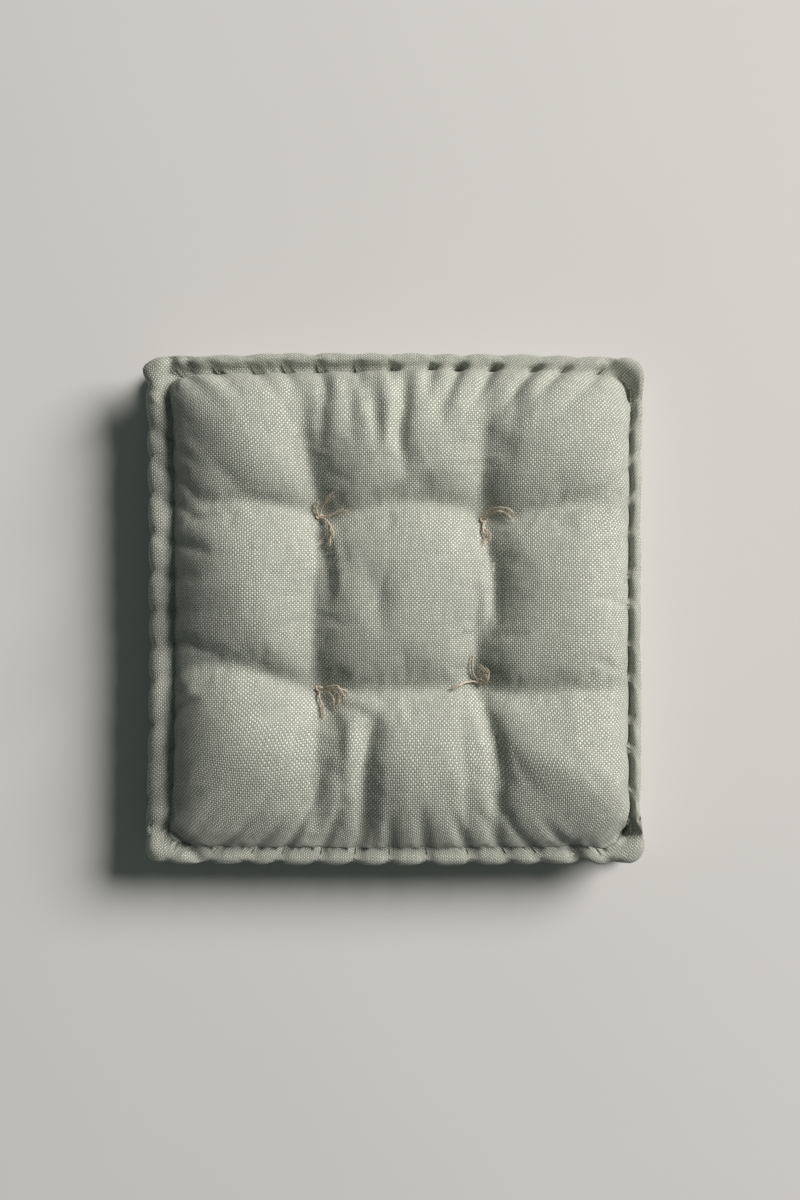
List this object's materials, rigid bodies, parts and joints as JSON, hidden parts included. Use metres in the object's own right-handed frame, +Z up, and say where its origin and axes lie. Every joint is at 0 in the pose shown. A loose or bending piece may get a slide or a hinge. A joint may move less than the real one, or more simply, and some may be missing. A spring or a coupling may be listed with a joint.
{
  "type": "floor cushion",
  "caption": "Square floor cushion with rolled, stitched edges and boxed sides, pulled into a grid of soft puffs by twine ties through its stuffing.",
  "frame": {"origin": "centre of the cushion's footprint, on the floor", "axes": "+Z up out of the tufted face; +X to the right edge and +Y to the back edge, as seen from above"},
  "size_m": [0.45, 0.45, 0.1],
  "materials": {
    "linen_cover": "coarse plain-weave linen, pale sage grey, matt",
    "wadding": "unbleached cotton wadding, hidden inside",
    "tie_twine": "soft undyed cotton twine with frayed ends",
    "stitching_thread": "waxed linen thread, close to the cover's colour"
  },
  "bodies": {
    "root": {"filling": "wadding", "top_panel": "linen_cover", "bottom_panel": "linen_cover", "side_band_right": "linen_cover", "side_band_back": "linen_cover", "side_band_left": "linen_cover", "side_band_front": "linen_cover", "top_roll_wadding_right": "wadding", "top_roll_wadding_back": "wadding", "top_roll_wadding_left": "wadding", "top_roll_wadding_front": "wadding", "bottom_roll_wadding_right": "wadding", "bottom_roll_wadding_back": "wadding", "bottom_roll_wadding_left": "wadding", "bottom_roll_wadding_front": "wadding", "top_roll_stitching": "stitching_thread", "bottom_roll_stitching": "stitching_thread", "tie_back_left": "tie_twine", "tie_back_right": "tie_twine", "tie_front_left": "tie_twine", "tie_front_right": "tie_twine", "top_tuft_back_left": "tie_twine", "top_tuft_back_right": "tie_twine", "top_tuft_front_left": "tie_twine", "top_tuft_front_right": "tie_twine", "bottom_tuft_back_left": "tie_twine", "bottom_tuft_back_right": "tie_twine", "bottom_tuft_front_left": "tie_twine", "bottom_tuft_front_right": "tie_twine"}
  },
  "joints": []
}
